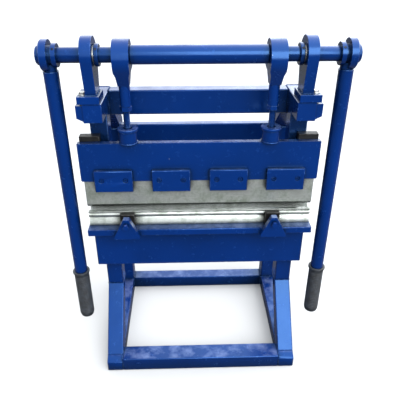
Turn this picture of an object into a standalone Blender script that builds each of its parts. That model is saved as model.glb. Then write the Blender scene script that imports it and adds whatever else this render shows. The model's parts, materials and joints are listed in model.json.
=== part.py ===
"""A hand-operated sheet metal brake with two hanging levers, an eccentric shaft and a sliding ram.

All lengths are in metres, +Z is up, the working side faces -Y and the floor is at Z = 0.
"""

import math

import bmesh
import bpy
from mathutils import Matrix

# Overall sizes
RAM_WIDTH = 0.600
BED_TOP = 0.4416
SHAFT_ABOVE_RAM = 0.2087
FRAME_DEPTH = 0.417
LEVER_REACH = 0.7153

# Small clearances between pieces
GAP = 0.0003
SLIDE_GAP = 0.0005
TURN_GAP = 0.0003

# Frame of square and flat steel tube
TUBE_WIDTH = 0.0445
COLUMN_DEPTH = 0.047
COLUMN_SETBACK = 0.009
FRAME_INSET = 0.0294
FLOOR_RAIL_HEIGHT = 0.043
FLOOR_TUBE_HEIGHT = 0.043
FLOOR_TUBE_DEPTH = 0.0527
REAR_TUBE_HEIGHT = 0.041
REAR_TUBE_DEPTH = 0.043
LEG_BEND_DROP = 0.2366
TOE_BEVEL = 0.0115
TOP_RAIL_HEIGHT = 0.0455
TOP_RAIL_REACH = 0.032
TOP_BEAM_HEIGHT = 0.0626
TOP_BEAM_DEPTH = 0.0394
CHEEK_REACH = 0.0155
CHEEK_DROP = 0.0043
CHEEK_HEIGHT = 0.040
REAR_POST_DEPTH = 0.050
REAR_POST_DROP = 0.1636
REAR_BEAM_HEIGHT = 0.070
REAR_BEAM_DEPTH = 0.0257
REAR_BEAM_SETBACK = 0.0465
REAR_BEAM_RISE = 0.020
TUBE_WALL = 0.004
EDGE = 0.002

# Bed and lower die
BED_PLATE_THICK = 0.018
BED_PLATE_OVERHANG = 0.0084
BED_LIP = 0.0262
APRON_HEIGHT = 0.1288
APRON_INSET = 0.0131
APRON_THICK = 0.0295
APRON_WALL = 0.006
DIE_HEIGHT = 0.0406
DIE_DEPTH = 0.0452
DIE_INSET = 0.011
# Each groove in the die's front: where it starts below the top, its depth, its apex and its end
DIE_FRONT_GROOVES = ((0.002, 0.004, 0.005, 0.0088), (0.0133, 0.007, 0.020, 0.033))
DIE_CLAMP_INSET = 0.223
DIE_BLOCK_WIDTH = 0.037
DIE_BLOCK_DEPTH = 0.013
DIE_BLOCK_HEIGHT = 0.038
DIE_BRACKET_WIDTH = 0.066
DIE_BRACKET_APEX = 0.014
DIE_BRACKET_DEPTH = 0.016
DIE_SCREW_RADIUS = 0.005
DIE_SCREW_ABOVE_BED = 0.024

# Ram, punch and punch clamps
SHEET_GAP = 0.006
RAM_HEIGHT = 0.1032
RAM_THICK = 0.018
RAM_SETBACK = 0.1072
RAM_CORNER = 0.003
PUNCH_DROP = 0.0741
PUNCH_INSET = 0.0066
PUNCH_THICK = 0.012
PUNCH_BEVEL = 0.008
CLAMP_WIDTH = 0.096
CLAMP_HEIGHT = 0.0585
CLAMP_THICK = 0.012
CLAMP_RISE = 0.034
CLAMP_PITCH = RAM_WIDTH * 0.2408
CLAMP_BORE = 0.0065
CLAMP_BORE_SPACING = 0.060
CLAMP_BORE_DEPTH = 0.006
CLAMP_BORE_ABOVE_JOINT = 0.008
SHOE_HEIGHT = 0.080
SHOE_RISE = 0.012
SHOE_DROP = 0.040
SHOE_WALL = 0.025
SHOE_LIP = 0.010
SHOE_LIP_REACH = 0.024

# Eccentric shaft
SHAFT_RADIUS = 0.0171
ECCENTRICITY = 0.008
SLEEVE_RADIUS = SHAFT_RADIUS + 0.0042
JOURNAL_RADIUS = SHAFT_RADIUS + ECCENTRICITY + 0.0014
JOURNAL_END_GAP = 0.0006
COLLAR_RADIUS = SHAFT_RADIUS + 0.0079
COLLAR_WIDTH = 0.010

# Shaft pedestals
PEDESTAL_INSET = 0.0224
PEDESTAL_WIDTH = 0.0255
PEDESTAL_HEAD = SHAFT_RADIUS + 0.0243
PEDESTAL_STEM = 0.050
PEDESTAL_FOOT_WIDTH = 0.051
PEDESTAL_FOOT_DEPTH = 0.068
PEDESTAL_FOOT_HEIGHT = 0.0175
PEDESTAL_FOOT_OFFSET = 0.0063
HEAD_ABOVE_RAIL = 0.0618
BUSH_WALL = 0.0035
BUSH_PROUD = 0.0015
FOOT_BOLT_RADIUS = 0.0045

# Connecting rods, screws and sockets
ROD_INSET = 0.0521
ROD_WIDTH = 0.037
ROD_HEAD = JOURNAL_RADIUS + 0.016
ROD_FOOT = 0.026
ROD_STEM_END = 0.0912
ROD_NECK_TOP = 0.1792
ROD_NECK_END = 0.141
SCREW_RADIUS = 0.0075
ROD_STEM_RADIUS = SCREW_RADIUS + 0.0055
NUT_HEIGHT = 0.0105
NUT_ACROSS = 2 * SCREW_RADIUS + 0.010
SCREW_ENGAGED = 0.030
SCREW_HEAD_RADIUS = SCREW_RADIUS + 0.005
SCREW_HEAD_HEIGHT = 0.014
PIVOT_SIDE_GAP = 0.35 * ECCENTRICITY
PIVOT_END_GAP = 0.375 * ECCENTRICITY
SOCKET_WALL = 0.0067
SOCKET_RADIUS = SCREW_HEAD_RADIUS + PIVOT_SIDE_GAP + SOCKET_WALL
SOCKET_FLOOR = 0.0105
CAP_RADIUS = SOCKET_RADIUS + 0.0035
CAP_THICK = 0.0065

# Levers
LEVER_OUTSET = 0.0363
LEVER_RADIUS = 0.0173
LEVER_WALL = 0.002
HUB_BARREL_RADIUS = SHAFT_RADIUS + 0.0039
HUB_NECK_RADIUS = SHAFT_RADIUS + 0.0089
HUB_EYE_RADIUS = SHAFT_RADIUS + 0.0174
HUB_EYE_WIDTH = 0.0172
HUB_WIDTH = 0.0372
HUB_END_THICK = 0.009
STUB_LENGTH = 0.060
GRIP_ABOVE_HAND = 0.1205
GRIP_LENGTH = 0.166
GRIP_WALL = 0.0026
GRIP_FLARE = 0.0058

ROUND = 32
SMALL_ROUND = 20

# Heights and depths that follow from the sizes above
FRONT_Y = -FRAME_DEPTH / 2
BACK_Y = FRAME_DEPTH / 2
RAM_FRONT = FRONT_Y + RAM_SETBACK
RAM_BACK = RAM_FRONT + RAM_THICK
MID_Y = RAM_FRONT + RAM_THICK / 2
COLUMN_FRONT = MID_Y + DIE_DEPTH / 2 + COLUMN_SETBACK
COLUMN_BACK = COLUMN_FRONT + COLUMN_DEPTH
FRAME_OUT = RAM_WIDTH / 2 - FRAME_INSET
FRAME_IN = FRAME_OUT - TUBE_WIDTH
LEG_BEND_HEIGHT = BED_TOP - LEG_BEND_DROP
DIE_BASE = BED_TOP + GAP
DIE_TOP = DIE_BASE + DIE_HEIGHT
PUNCH_TIP = DIE_TOP + SHEET_GAP
RAM_BASE = PUNCH_TIP + PUNCH_DROP
RAM_TOP = RAM_BASE + RAM_HEIGHT
SHAFT_Z = RAM_TOP + SHAFT_ABOVE_RAM
SOCKET_BASE = RAM_TOP + GAP
HEAD_BASE = SOCKET_BASE + SOCKET_FLOOR + PIVOT_END_GAP
HEAD_TOP = HEAD_BASE + SCREW_HEAD_HEIGHT
CAP_BASE = HEAD_TOP + PIVOT_END_GAP
CAP_TOP = CAP_BASE + CAP_THICK
STEM_END = RAM_TOP + ROD_STEM_END
RAIL_TOP = SHAFT_Z - PEDESTAL_HEAD - HEAD_ABOVE_RAIL
RAIL_BASE = RAIL_TOP - TOP_RAIL_HEIGHT
RAIL_FRONT = MID_Y - TOP_RAIL_REACH
RAIL_BACK = COLUMN_BACK + TOP_BEAM_DEPTH
REAR_POST_TOP = RAIL_TOP - REAR_POST_DROP
JOURNAL_Z = SHAFT_Z - ECCENTRICITY
PEDESTAL_CENTRE = FRAME_OUT - PEDESTAL_INSET
ROD_CENTRE = FRAME_IN - ROD_INSET
LEVER_CENTRE = RAM_WIDTH / 2 + LEVER_OUTSET
EYE_IN = LEVER_CENTRE - 0.0023
HUB_IN = LEVER_CENTRE - 0.0205
SHAFT_END = HUB_IN + HUB_WIDTH
GRIP_TOP = SHAFT_Z - LEVER_REACH + GRIP_ABOVE_HAND


def clear_scene():
    for old in list(bpy.data.objects):
        bpy.data.objects.remove(old, do_unlink=True)


def new_collection(name, hidden=False):
    made = bpy.data.collections.new(name)
    bpy.context.scene.collection.children.link(made)
    made.hide_render = hidden
    return made


def material(name, colour, roughness, metallic):
    made = bpy.data.materials.new(name)
    made.use_nodes = True
    shader = made.node_tree.nodes["Principled BSDF"]
    shader.inputs["Base Color"].default_value = (*colour, 1.0)
    shader.inputs["Roughness"].default_value = roughness
    shader.inputs["Metallic"].default_value = metallic
    made.diffuse_color = (*colour, 1.0)
    return made


clear_scene()
PARTS = new_collection("sheet_metal_brake")
CUTTERS = new_collection("cutters", hidden=True)
BLUE = material("blue_enamel", (0.005, 0.045, 0.235), 0.35, 0.0)
STEEL = material("ground_tool_steel", (0.42, 0.45, 0.42), 0.38, 1.0)
BLACK = material("blackened_steel", (0.020, 0.020, 0.021), 0.45, 0.7)
RUBBER = material("grip_rubber", (0.024, 0.028, 0.034), 0.7, 0.0)
ZINC = material("plated_steel", (0.55, 0.55, 0.53), 0.3, 1.0)


def pivot(name, point):
    """An empty on a joint axis, which carries the pieces that move about it."""
    made = bpy.data.objects.new(name, None)
    made.location = point
    made.empty_display_size = 0.02
    PARTS.objects.link(made)
    return made


def finish(name, mesh, origin, look, parent=None, smooth=False, cutter=False):
    """Makes the object of a mesh that was drawn in world space, with its origin where it is asked for."""
    mesh.transform(Matrix.Translation([-value for value in origin]))
    made = bpy.data.objects.new(name, mesh)
    made.location = origin
    if cutter:
        CUTTERS.objects.link(made)
        made.hide_render = True
        made.display_type = "WIRE"
        return made
    PARTS.objects.link(made)
    mesh.materials.append(look)
    if smooth:
        mesh.shade_smooth()
        mesh.set_sharp_from_angle(angle=math.radians(35))
    if parent is not None:
        made.parent = parent
        made.matrix_parent_inverse = Matrix.Translation(parent.location).inverted()
    return made


def to_mesh(name, bm):
    bmesh.ops.recalc_face_normals(bm, faces=bm.faces)
    mesh = bpy.data.meshes.new(name)
    bm.to_mesh(mesh)
    bm.free()
    return mesh


def bevelled(obj, width, angle=40):
    """Rounds the edges of a piece off by one narrow flat."""
    if width > 0:
        soft = obj.modifiers.new("edge", "BEVEL")
        soft.width = width
        soft.segments = 1
        soft.limit_method = "ANGLE"
        soft.angle_limit = math.radians(angle)
    return obj


def box(name, low, high, look, parent=None, edge=0.0, origin=None, cutter=False):
    centre = [(a + b) / 2 for a, b in zip(low, high)]
    bm = bmesh.new()
    bmesh.ops.create_cube(bm, size=1.0)
    size = [b - a for a, b in zip(low, high)]
    bmesh.ops.transform(bm, matrix=Matrix.Diagonal((*size, 1.0)), verts=bm.verts)
    bmesh.ops.translate(bm, vec=centre, verts=bm.verts)
    mesh = to_mesh(name, bm)
    return bevelled(finish(name, mesh, origin or centre, look, parent, False, cutter), edge)


def outline_mesh(name, points, low, high, turn):
    """A flat outline pushed through from low to high, then turned from the XY plane by the matrix."""
    curve = bpy.data.curves.new(name, "CURVE")
    curve.dimensions = "2D"
    curve.fill_mode = "BOTH"
    curve.extrude = (high - low) / 2
    line = curve.splines.new("POLY")
    line.points.add(len(points) - 1)
    for spot, (across, up) in zip(line.points, points):
        spot.co = (across, up, 0.0, 1.0)
    line.use_cyclic_u = True
    drawn = bpy.data.objects.new(name + "_outline", curve)
    PARTS.objects.link(drawn)
    bpy.context.view_layer.update()
    graph = bpy.context.evaluated_depsgraph_get()
    mesh = bpy.data.meshes.new_from_object(drawn.evaluated_get(graph))
    bpy.data.objects.remove(drawn, do_unlink=True)
    bpy.data.curves.remove(curve)
    mesh.materials.clear()
    bm = bmesh.new()
    bm.from_mesh(mesh)
    bmesh.ops.remove_doubles(bm, verts=bm.verts, dist=0.00001)
    bmesh.ops.dissolve_limit(bm, angle_limit=0.001, verts=bm.verts, edges=bm.edges)
    bmesh.ops.translate(bm, vec=(0, 0, (low + high) / 2), verts=bm.verts)
    bmesh.ops.transform(bm, matrix=turn, verts=bm.verts)
    bmesh.ops.recalc_face_normals(bm, faces=bm.faces)
    bm.to_mesh(mesh)
    bm.free()
    return mesh


# Turns an outline of (Y, Z) points so that it is pushed through along X
ALONG_X = Matrix(((0, 0, 1, 0), (1, 0, 0, 0), (0, 1, 0, 0), (0, 0, 0, 1)))
# Turns an outline of (X, Z) points so that it is pushed through along Y
ALONG_Y = Matrix(((1, 0, 0, 0), (0, 0, -1, 0), (0, 1, 0, 0), (0, 0, 0, 1)))


def prism_x(name, points, low, high, look, parent=None, edge=0.0, origin=None, cutter=False):
    mesh = outline_mesh(name, points, low, high, ALONG_X)
    start = origin or ((low + high) / 2, points[0][0], points[0][1])
    return bevelled(finish(name, mesh, start, look, parent, False, cutter), edge)


def prism_y(name, points, front, back, look, parent=None, edge=0.0, origin=None, cutter=False):
    mesh = outline_mesh(name, points, -back, -front, ALONG_Y)
    start = origin or (points[0][0], (front + back) / 2, points[0][1])
    return bevelled(finish(name, mesh, start, look, parent, False, cutter), edge)


def prism_z(name, points, low, high, look, parent=None, edge=0.0, origin=None, cutter=False):
    mesh = outline_mesh(name, points, low, high, Matrix.Identity(4))
    start = origin or (points[0][0], points[0][1], (low + high) / 2)
    return bevelled(finish(name, mesh, start, look, parent, False, cutter), edge)


def spun_mesh(name, profile, steps):
    """The closed surface that a (radius, height) outline sweeps when it is screwed round the Z axis."""
    bm = bmesh.new()
    spots = [bm.verts.new((radius, 0.0, height)) for radius, height in profile]
    for first, second in zip(spots, spots[1:]):
        bm.edges.new((first, second))
    if min(radius for radius, _ in profile) > 0:
        bm.edges.new((spots[-1], spots[0]))
    drawn = bpy.data.meshes.new(name + "_profile")
    bm.to_mesh(drawn)
    bm.free()
    holder = bpy.data.objects.new(name + "_profile", drawn)
    PARTS.objects.link(holder)
    screw = holder.modifiers.new("screw", "SCREW")
    screw.axis = "Z"
    screw.steps = steps
    screw.render_steps = steps
    screw.use_merge_vertices = True
    screw.merge_threshold = 0.00002
    bpy.context.view_layer.update()
    graph = bpy.context.evaluated_depsgraph_get()
    mesh = bpy.data.meshes.new_from_object(holder.evaluated_get(graph))
    bpy.data.objects.remove(holder, do_unlink=True)
    bpy.data.meshes.remove(drawn)
    return mesh


def turned(name, profile, centre, axis, look, parent=None, steps=ROUND, origin=None, cutter=False):
    """A turned piece: its profile runs down the outside first, and it is spun about the axis."""
    mesh = spun_mesh(name, profile, steps)
    bm = bmesh.new()
    bm.from_mesh(mesh)
    bmesh.ops.remove_doubles(bm, verts=bm.verts, dist=0.00001)
    if axis == "X":
        bmesh.ops.transform(bm, matrix=Matrix.Rotation(math.pi / 2, 4, "Y"), verts=bm.verts)
    if axis == "Y":
        bmesh.ops.transform(bm, matrix=Matrix.Rotation(math.pi / 2, 4, "X"), verts=bm.verts)
    bmesh.ops.translate(bm, vec=centre, verts=bm.verts)
    bmesh.ops.recalc_face_normals(bm, faces=bm.faces)
    bm.to_mesh(mesh)
    bm.free()
    return finish(name, mesh, origin or centre, look, parent, not cutter, cutter)


def bar(radius, low, high, bevel=0.0):
    """The profile of a round bar with its ends a little rounded off."""
    if bevel <= 0:
        return [(0, high), (radius, high), (radius, low), (0, low)]
    return [(0, high), (radius - bevel, high), (radius, high - bevel),
            (radius, low + bevel), (radius - bevel, low), (0, low)]


def ring(outer, inner, low, high, bevel=0.0):
    if bevel <= 0:
        return [(outer, high), (outer, low), (inner, low), (inner, high)]
    return [(outer - bevel, high), (outer, high - bevel), (outer, low + bevel),
            (outer - bevel, low), (inner, low), (inner, high)]

def boolean(target, other, operation):
    change = target.modifiers.new(operation.lower(), "BOOLEAN")
    change.operation = operation
    change.object = other
    change.solver = "EXACT"


def hollow(piece, low, high):
    """Makes a box section into a tube by cutting the box between two corners out of it."""
    core = box(piece.name + "_core", low, high, None, cutter=True)
    boolean(piece, core, "DIFFERENCE")


def cross_tube(name, low, high):
    """A tube along X whose open ends butt against the two sides of the frame."""
    tube = box(name, low, high, BLUE, edge=EDGE)
    inner_low = (low[0] - 0.01, low[1] + TUBE_WALL, low[2] + TUBE_WALL)
    inner_high = (high[0] + 0.01, high[1] - TUBE_WALL, high[2] - TUBE_WALL)
    hollow(tube, inner_low, inner_high)


def upright_tube(name, low, high):
    """A tube along Z whose open ends butt against the pieces above and below it."""
    tube = box(name, low, high, BLUE, edge=EDGE)
    inner_low = (low[0] + TUBE_WALL, low[1] + TUBE_WALL, low[2] - 0.01)
    inner_high = (high[0] - TUBE_WALL, high[1] - TUBE_WALL, high[2] + 0.01)
    hollow(tube, inner_low, inner_high)


def hexagon(across, centre):
    corner = across / math.sqrt(3)
    points = []
    for step in range(6):
        angle = math.radians(60 * step)
        points.append((centre[0] + corner * math.cos(angle), centre[1] + corner * math.sin(angle)))
    return points


def head_and_foot(centre_y, centre_z, radius, half_foot, foot_z, steps=24):
    """A round head that runs down in two straight flanks to a narrower foot."""
    drop = centre_z - foot_z
    reach = math.hypot(half_foot, drop)
    lean = math.asin(min(0.999, radius / reach)) - math.atan2(half_foot, drop)
    points = []
    for step in range(steps + 1):
        angle = -lean + (math.pi + 2 * lean) * step / steps
        points.append((centre_y + radius * math.cos(angle), centre_z + radius * math.sin(angle)))
    points.append((centre_y - half_foot, foot_z))
    points.append((centre_y + half_foot, foot_z))
    return points


def build_side(tag, side):
    """One side of the frame: column, splayed leg, floor rail, rear post, brace and top rail."""
    inner, outer = sorted((side * FRAME_IN, side * FRAME_OUT))
    column_low = (inner, COLUMN_FRONT, LEG_BEND_HEIGHT)
    upright_tube("front_column_" + tag, column_low, (outer, COLUMN_BACK, RAIL_BASE - GAP))
    top = FLOOR_RAIL_HEIGHT + GAP
    bend = LEG_BEND_HEIGHT - GAP
    leg = [(COLUMN_FRONT, bend), (COLUMN_BACK, bend), (FRONT_Y + 0.078, top), (FRONT_Y + 0.020, top)]
    prism_x("front_leg_" + tag, leg, inner, outer, BLUE, edge=EDGE)
    rail = [(FRONT_Y, 0), (BACK_Y, 0), (BACK_Y, FLOOR_RAIL_HEIGHT)]
    rail += [(FRONT_Y + 0.018, FLOOR_RAIL_HEIGHT), (FRONT_Y, FLOOR_RAIL_HEIGHT - TOE_BEVEL)]
    prism_x("floor_rail_" + tag, rail, inner, outer, BLUE, edge=EDGE)
    post_low = (inner, BACK_Y - REAR_POST_DEPTH, top)
    upright_tube("rear_post_" + tag, post_low, (outer, BACK_Y, REAR_POST_TOP))
    low = REAR_POST_TOP + GAP
    start = RAIL_BACK + GAP
    brace = [(start, RAIL_TOP), (BACK_Y, low + 0.020), (BACK_Y, low)]
    brace += [(BACK_Y - REAR_POST_DEPTH, low), (start, RAIL_BASE - 0.010)]
    prism_x("rear_brace_" + tag, brace, inner, outer, BLUE, edge=EDGE)
    build_top_rail(tag, side, inner, outer)


def build_top_rail(tag, side, inner, outer):
    """The rail that carries the pedestal, with a cheek plate welded outside its front end."""
    low = (inner, RAIL_FRONT, RAIL_BASE)
    rail = box("top_rail_" + tag, low, (outer, RAIL_BACK, RAIL_TOP), BLUE, edge=0.0015)
    lip = side * (FRAME_OUT + CHEEK_REACH)
    root = side * (FRAME_OUT - 0.004)
    top = RAIL_TOP - CHEEK_DROP
    base = top - CHEEK_HEIGHT
    cheek = [(root, top), (lip, top), (lip, base + 0.010), (root, base)]
    front = RAIL_FRONT + 0.0025
    joined = prism_y("cheek_" + tag, cheek, front, front + 0.0545, BLUE, cutter=True)
    boolean(rail, joined, "UNION")


def build_cross_members():
    """Every tube that ties the two sides of the frame together."""
    half = FRAME_IN - GAP
    front = RAIL_BACK - TOP_BEAM_DEPTH
    cross_tube("top_crossbeam", (-half, front, RAIL_TOP - TOP_BEAM_HEIGHT), (half, RAIL_BACK, RAIL_TOP))
    top = REAR_POST_TOP + REAR_BEAM_RISE
    back = BACK_Y - REAR_BEAM_SETBACK
    cross_tube("rear_beam", (-half, back - REAR_BEAM_DEPTH, top - REAR_BEAM_HEIGHT), (half, back, top))
    cross_tube("rear_floor_tube", (-half, BACK_Y - REAR_TUBE_DEPTH, 0), (half, BACK_Y, REAR_TUBE_HEIGHT))
    back = FRONT_Y + FLOOR_TUBE_DEPTH
    cross_tube("front_floor_tube", (-half, FRONT_Y, 0), (half, back, FLOOR_TUBE_HEIGHT))


def build_bed():
    """The plate that the die stands on, with the hollow apron beam that stiffens it from below."""
    back = COLUMN_FRONT - GAP
    top = BED_TOP - BED_PLATE_THICK
    wide = RAM_WIDTH / 2 - BED_PLATE_OVERHANG
    front = MID_Y - DIE_DEPTH / 2 - BED_LIP
    box("bed_plate", (-wide, front, top), (wide, back, BED_TOP), BLUE, edge=0.0012)
    wide = RAM_WIDTH / 2 - APRON_INSET
    front = back - APRON_THICK
    base = top - GAP - APRON_HEIGHT
    apron = box("apron_beam", (-wide, front, base), (wide, back, top - GAP), BLUE, edge=EDGE)
    inner_low = (-wide + APRON_WALL, front + APRON_WALL, base + APRON_WALL)
    hollow(apron, inner_low, (wide - APRON_WALL, back - APRON_WALL, top + 0.01))


def build_die():
    """A lower die with V grooves of several widths along its four faces."""
    front = MID_Y - DIE_DEPTH / 2
    back = MID_Y + DIE_DEPTH / 2
    middle = (DIE_BASE + DIE_TOP) / 2
    outline = [(front, DIE_BASE)]
    outline += [(MID_Y - 0.010, DIE_BASE), (MID_Y, DIE_BASE + 0.009), (MID_Y + 0.010, DIE_BASE)]
    outline += [(back, DIE_BASE), (back, middle - 0.006), (back - 0.006, middle), (back, middle + 0.006)]
    outline += [(back, DIE_TOP), (MID_Y + 0.0125, DIE_TOP), (MID_Y, DIE_TOP - 0.0115)]
    outline += [(MID_Y - 0.0125, DIE_TOP), (front, DIE_TOP)]
    for start, deep, apex, end in DIE_FRONT_GROOVES:
        outline += [(front, DIE_TOP - start), (front + deep, DIE_TOP - apex), (front, DIE_TOP - end)]
    wide = RAM_WIDTH / 2 - DIE_INSET
    prism_x("lower_die", outline, -wide, wide, STEEL)


def build_die_clamp(tag, side):
    """A block against the die, pushed by a screw through a triangular bracket on the bed plate."""
    x = side * (RAM_WIDTH - DIE_CLAMP_INSET) / 2
    die_front = MID_Y - DIE_DEPTH / 2
    block_back = die_front - GAP
    block_front = block_back - DIE_BLOCK_DEPTH
    half = DIE_BLOCK_WIDTH / 2
    block_low = (x - half, block_front, BED_TOP + GAP)
    block_high = (x + half, block_back, BED_TOP + DIE_BLOCK_HEIGHT)
    box("die_clamp_block_" + tag, block_low, block_high, BLACK, edge=0.001)
    back = die_front - BED_LIP - GAP
    front = back - DIE_BRACKET_DEPTH
    base = BED_TOP - BED_PLATE_THICK
    top = DIE_TOP - 0.001
    half = DIE_BRACKET_WIDTH / 2
    apex = DIE_BRACKET_APEX / 2
    outline = [(x - half, base), (x + half, base), (x + half, base + 0.006)]
    outline += [(x + apex, top), (x - apex, top), (x - half, base + 0.006)]
    bracket = prism_y("die_clamp_bracket_" + tag, outline, front, back, BLUE)
    z = BED_TOP + DIE_SCREW_ABOVE_BED
    drill = bar(DIE_SCREW_RADIUS + GAP, -0.03, 0.03)
    spot = (x, (front + back) / 2, z)
    hole = turned("bracket_bore_" + tag, drill, spot, "Y", None, steps=SMALL_ROUND, cutter=True)
    boolean(bracket, hole, "DIFFERENCE")
    tip = block_front - GAP
    long = tip - (front - 0.010)
    rod = bar(DIE_SCREW_RADIUS, -long / 2, long / 2, 0.0006)
    spot = (x, tip - long / 2, z)
    shank = turned("die_clamp_screw_" + tag, rod, spot, "Y", BLUE, steps=SMALL_ROUND)
    across = hexagon(2 * DIE_SCREW_RADIUS + 0.003, (x, z))
    head = prism_y("screw_head_" + tag, across, front - 0.013, front - 0.005, BLUE, cutter=True)
    boolean(shank, head, "UNION")


def build_pedestal(tag, side):
    """The fixed bearing of the shaft: a round-headed plate on a bolted foot, with a bush in it."""
    x = side * PEDESTAL_CENTRE
    low, high = x - PEDESTAL_WIDTH / 2, x + PEDESTAL_WIDTH / 2
    foot_top = RAIL_TOP + GAP + PEDESTAL_FOOT_HEIGHT
    axis = (x, MID_Y, SHAFT_Z)
    outline = head_and_foot(MID_Y, SHAFT_Z, PEDESTAL_HEAD, PEDESTAL_STEM / 2, foot_top - 0.004)
    piece = prism_x("pedestal_" + tag, outline, low, high, BLUE, origin=axis)
    centre = side * (PEDESTAL_CENTRE + PEDESTAL_FOOT_OFFSET)
    half = PEDESTAL_FOOT_WIDTH / 2
    front = RAIL_FRONT - 0.003
    foot_low = (centre - half, front, RAIL_TOP + GAP)
    foot_high = (centre + half, front + PEDESTAL_FOOT_DEPTH, foot_top)
    boolean(piece, box("pedestal_foot_" + tag, foot_low, foot_high, BLUE, cutter=True), "UNION")
    outer = SHAFT_RADIUS + TURN_GAP + BUSH_WALL
    drill = bar(outer + GAP, -0.03, 0.03)
    bore = turned("pedestal_bore_" + tag, drill, axis, "X", None, cutter=True)
    boolean(piece, bore, "DIFFERENCE")
    half = PEDESTAL_WIDTH / 2 + BUSH_PROUD
    bush = ring(outer, SHAFT_RADIUS + TURN_GAP, -half, half)
    turned("pedestal_bush_" + tag, bush, axis, "X", ZINC)
    build_foot_bolt(tag, side, piece, foot_top)


def build_foot_bolt(tag, side, pedestal, foot_top):
    """A hexagon bolt down through the outer edge of the pedestal foot into the top rail."""
    x = side * (PEDESTAL_CENTRE + PEDESTAL_WIDTH / 2 + FOOT_BOLT_RADIUS + 0.0035)
    y = RAIL_FRONT + 0.019
    deep = RAIL_TOP - 0.020
    rod = bar(FOOT_BOLT_RADIUS, deep + 0.0005, foot_top + 0.004, 0.0006)
    origin = (x, y, foot_top)
    shank = turned("foot_bolt_" + tag, rod, (x, y, 0), "Z", ZINC, steps=SMALL_ROUND, origin=origin)
    across = hexagon(2 * FOOT_BOLT_RADIUS + 0.004, (x, y))
    head = prism_z("bolt_head_" + tag, across, foot_top + GAP, foot_top + 0.0065, ZINC, cutter=True)
    boolean(shank, head, "UNION")
    drill = bar(FOOT_BOLT_RADIUS + GAP, deep, foot_top + 0.02)
    hole = turned("foot_bolt_hole_" + tag, drill, (x, y, 0), "Z", None, steps=SMALL_ROUND, cutter=True)
    boolean(pedestal, hole, "DIFFERENCE")
    boolean(bpy.data.objects["top_rail_" + tag], hole, "DIFFERENCE")


def build_shaft():
    """The eccentric shaft with the pieces that turn with it."""
    centre = (0, MID_Y, SHAFT_Z)
    turning = pivot("shaft_axis", centre)
    rod = bar(SHAFT_RADIUS, -SHAFT_END, SHAFT_END, 0.001)
    shaft = turned("eccentric_shaft", rod, centre, "X", BLUE, turning)
    half = ROD_WIDTH / 2
    for tag, side in SIDES:
        throw = bar(JOURNAL_RADIUS, -half, half)
        spot = (side * ROD_CENTRE, MID_Y, JOURNAL_Z)
        boolean(shaft, turned("journal_" + tag, throw, spot, "X", None, cutter=True), "UNION")
    half = ROD_CENTRE - ROD_WIDTH / 2 - JOURNAL_END_GAP
    sleeve = ring(SLEEVE_RADIUS, SHAFT_RADIUS + GAP, -half, half, 0.001)
    turned("shaft_sleeve", sleeve, centre, "X", BLUE, turning)
    half = COLLAR_WIDTH / 2
    reach = PEDESTAL_CENTRE - PEDESTAL_WIDTH / 2 - BUSH_PROUD - JOURNAL_END_GAP - half
    for tag, side in SIDES:
        collar = ring(COLLAR_RADIUS, SHAFT_RADIUS + GAP, -half, half, 0.001)
        turned("shaft_collar_" + tag, collar, (side * reach, MID_Y, SHAFT_Z), "X", BLUE, turning)
        build_lever(tag, side, turning)


def build_lever(tag, side, turning):
    """A hub with an eye plate on the shaft end, a tube that hangs from it and a moulded grip."""
    axis = (0, MID_Y, SHAFT_Z)
    bore = SHAFT_RADIUS + GAP
    barrel = HUB_BARREL_RADIUS
    eye = HUB_EYE_RADIUS
    collar = HUB_IN + 0.010
    eye_out = EYE_IN + HUB_EYE_WIDTH
    cap = SHAFT_END + GAP
    end = SHAFT_END + HUB_END_THICK
    profile = [(0, end), (barrel - 0.0025, end), (barrel, end - 0.0025), (barrel, eye_out)]
    profile += [(eye - 0.002, eye_out), (eye, eye_out - 0.002), (eye, EYE_IN), (barrel, EYE_IN)]
    profile += [(barrel, collar), (HUB_NECK_RADIUS, collar), (HUB_NECK_RADIUS, HUB_IN)]
    profile += [(bore, HUB_IN), (bore, cap), (0, cap)]
    profile = [(radius, side * reach) for radius, reach in profile]
    hub = turned("lever_hub_" + tag, profile, axis, "X", BLUE, turning)
    tube_top = SHAFT_Z - HUB_EYE_RADIUS - 0.001
    stub_radius = LEVER_RADIUS - LEVER_WALL - GAP
    stub = bar(stub_radius, tube_top - STUB_LENGTH, SHAFT_Z - SHAFT_RADIUS - 0.0015)
    spot = (side * LEVER_CENTRE, MID_Y, 0)
    boolean(hub, turned("lever_stub_" + tag, stub, spot, "Z", None, cutter=True), "UNION")
    tube_end = GRIP_TOP - GRIP_LENGTH + 0.018
    pipe = ring(LEVER_RADIUS, LEVER_RADIUS - LEVER_WALL, tube_end, tube_top)
    turned("lever_tube_" + tag, pipe, spot, "Z", BLUE, turning, origin=axis)
    build_grip(tag, spot, axis, turning, tube_end)


def build_grip(tag, spot, axis, turning, tube_end):
    """A closed rubber sleeve over the end of the lever tube, flared at its upper rim."""
    inner = LEVER_RADIUS + GAP
    outer = inner + GRIP_WALL
    flare = inner + GRIP_FLARE
    bottom = GRIP_TOP - GRIP_LENGTH
    profile = [(0, bottom), (0.008, bottom), (outer - 0.0075, bottom + 0.003)]
    profile += [(outer - 0.002, bottom + 0.012), (outer, bottom + 0.022), (outer, GRIP_TOP - 0.030)]
    profile += [(outer + 0.0006, GRIP_TOP - 0.010), (flare, GRIP_TOP - 0.006)]
    profile += [(flare, GRIP_TOP - 0.002), (flare - 0.0015, GRIP_TOP), (inner, GRIP_TOP)]
    profile += [(inner, tube_end - GAP), (0, tube_end - GAP)]
    turned("lever_grip_" + tag, profile, spot, "Z", RUBBER, turning, origin=axis)


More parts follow.
